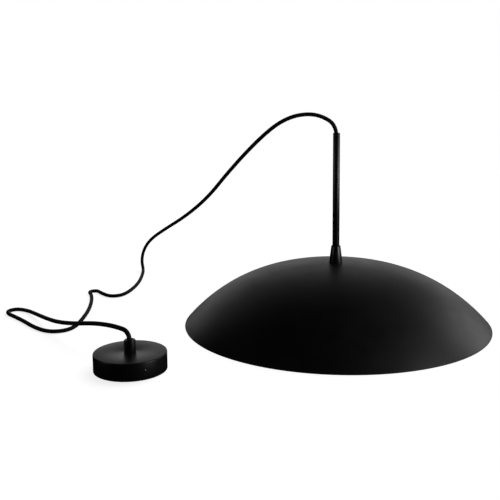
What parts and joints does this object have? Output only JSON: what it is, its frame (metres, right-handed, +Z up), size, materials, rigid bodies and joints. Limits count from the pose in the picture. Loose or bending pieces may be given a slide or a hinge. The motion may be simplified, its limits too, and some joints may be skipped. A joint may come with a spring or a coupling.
{
  "type": "pendant ceiling light",
  "caption": "Pendant light: wide shallow metal dome on a slim stem, textile cord and round ceiling canopy, laid on a surface.",
  "frame": {"origin": "on the shade's axis, in the plane of its rim, which rests on the surface", "axes": "+Z up along the shade's axis and stem; the canopy lies towards -X and -Y; +X runs the way of the light's greatest extent"},
  "size_m": [0.8023, 0.6564, 0.3393],
  "materials": {
    "black_powder_coat": "fine-textured matte powder coat",
    "black_canopy_coat": "satin-matte powder coat",
    "black_satin": "satin black coat",
    "black_nylon": "moulded nylon",
    "black_screw": "blackened steel",
    "zinc_steel": "bright zinc plate",
    "brass": "stamped brass",
    "black_phenolic": "moulded phenolic",
    "white_ceramic": "unglazed steatite",
    "white_polyamide": "moulded polyamide",
    "brown_insulation": "soft insulation",
    "blue_insulation": "soft insulation",
    "green_yellow_insulation": "soft striped insulation",
    "black_textile": "braided textile sleeve"
  },
  "bodies": {
    "light": {"shade_dome": "black_powder_coat", "collar_cone": "black_satin", "stem_tube": "black_satin", "stem_bush": "black_nylon", "seat_washer": "zinc_steel", "crown_nut": "zinc_steel", "holder_nut": "zinc_steel", "earth_tag": "brass", "holder_cap": "black_phenolic", "holder_skirt": "black_phenolic", "holder_insert": "white_ceramic", "screw_shell": "brass", "side_contact": "brass", "terminal_screws": "brass", "live_lead": "brown_insulation", "neutral_lead": "blue_insulation", "earth_lead": "green_yellow_insulation", "cord_in_stem": "black_textile", "pendant_cord": "black_textile", "cord_in_grip": "black_textile", "canopy_cup": "black_canopy_coat", "grip_body": "black_satin", "grip_washer": "zinc_steel", "grip_nut": "zinc_steel", "ceiling_bracket": "zinc_steel", "terminal_block": "white_polyamide", "block_screws": "brass", "canopy_live_lead": "brown_insulation", "canopy_neutral_lead": "blue_insulation", "canopy_earth_lead": "green_yellow_insulation", "earth_screw": "brass"},
    "side_screw_front": {"side_screw_front": "black_screw"},
    "side_screw_rear": {"side_screw_rear": "black_screw"},
    "lock_screw": {"grip_lock_screw": "black_nylon"},
    "contact_leaf": {"centre_contact": "brass"}
  },
  "joints": [
    {"name": "side_screw_front_out", "type": "slide", "parent": "light", "child": "side_screw_front", "axis": [0.515, -0.8572, 0], "range_m": [0, 0.004]},
    {"name": "side_screw_rear_out", "type": "slide", "parent": "light", "child": "side_screw_rear", "axis": [-0.515, 0.8572, 0], "range_m": [0, 0.004]},
    {"name": "lock_screw_out", "type": "slide", "parent": "light", "child": "lock_screw", "axis": [-0.0175, 0.9998, 0], "range_m": [0, 0.0025]},
    {"name": "centre_contact_press", "type": "hinge", "parent": "light", "child": "contact_leaf", "pos_m": [0.004, 0, 0.05809], "axis": [0, 1, 0], "range_deg": [0, 10], "stiffness_Nm_per_rad": 0.05}
  ]
}
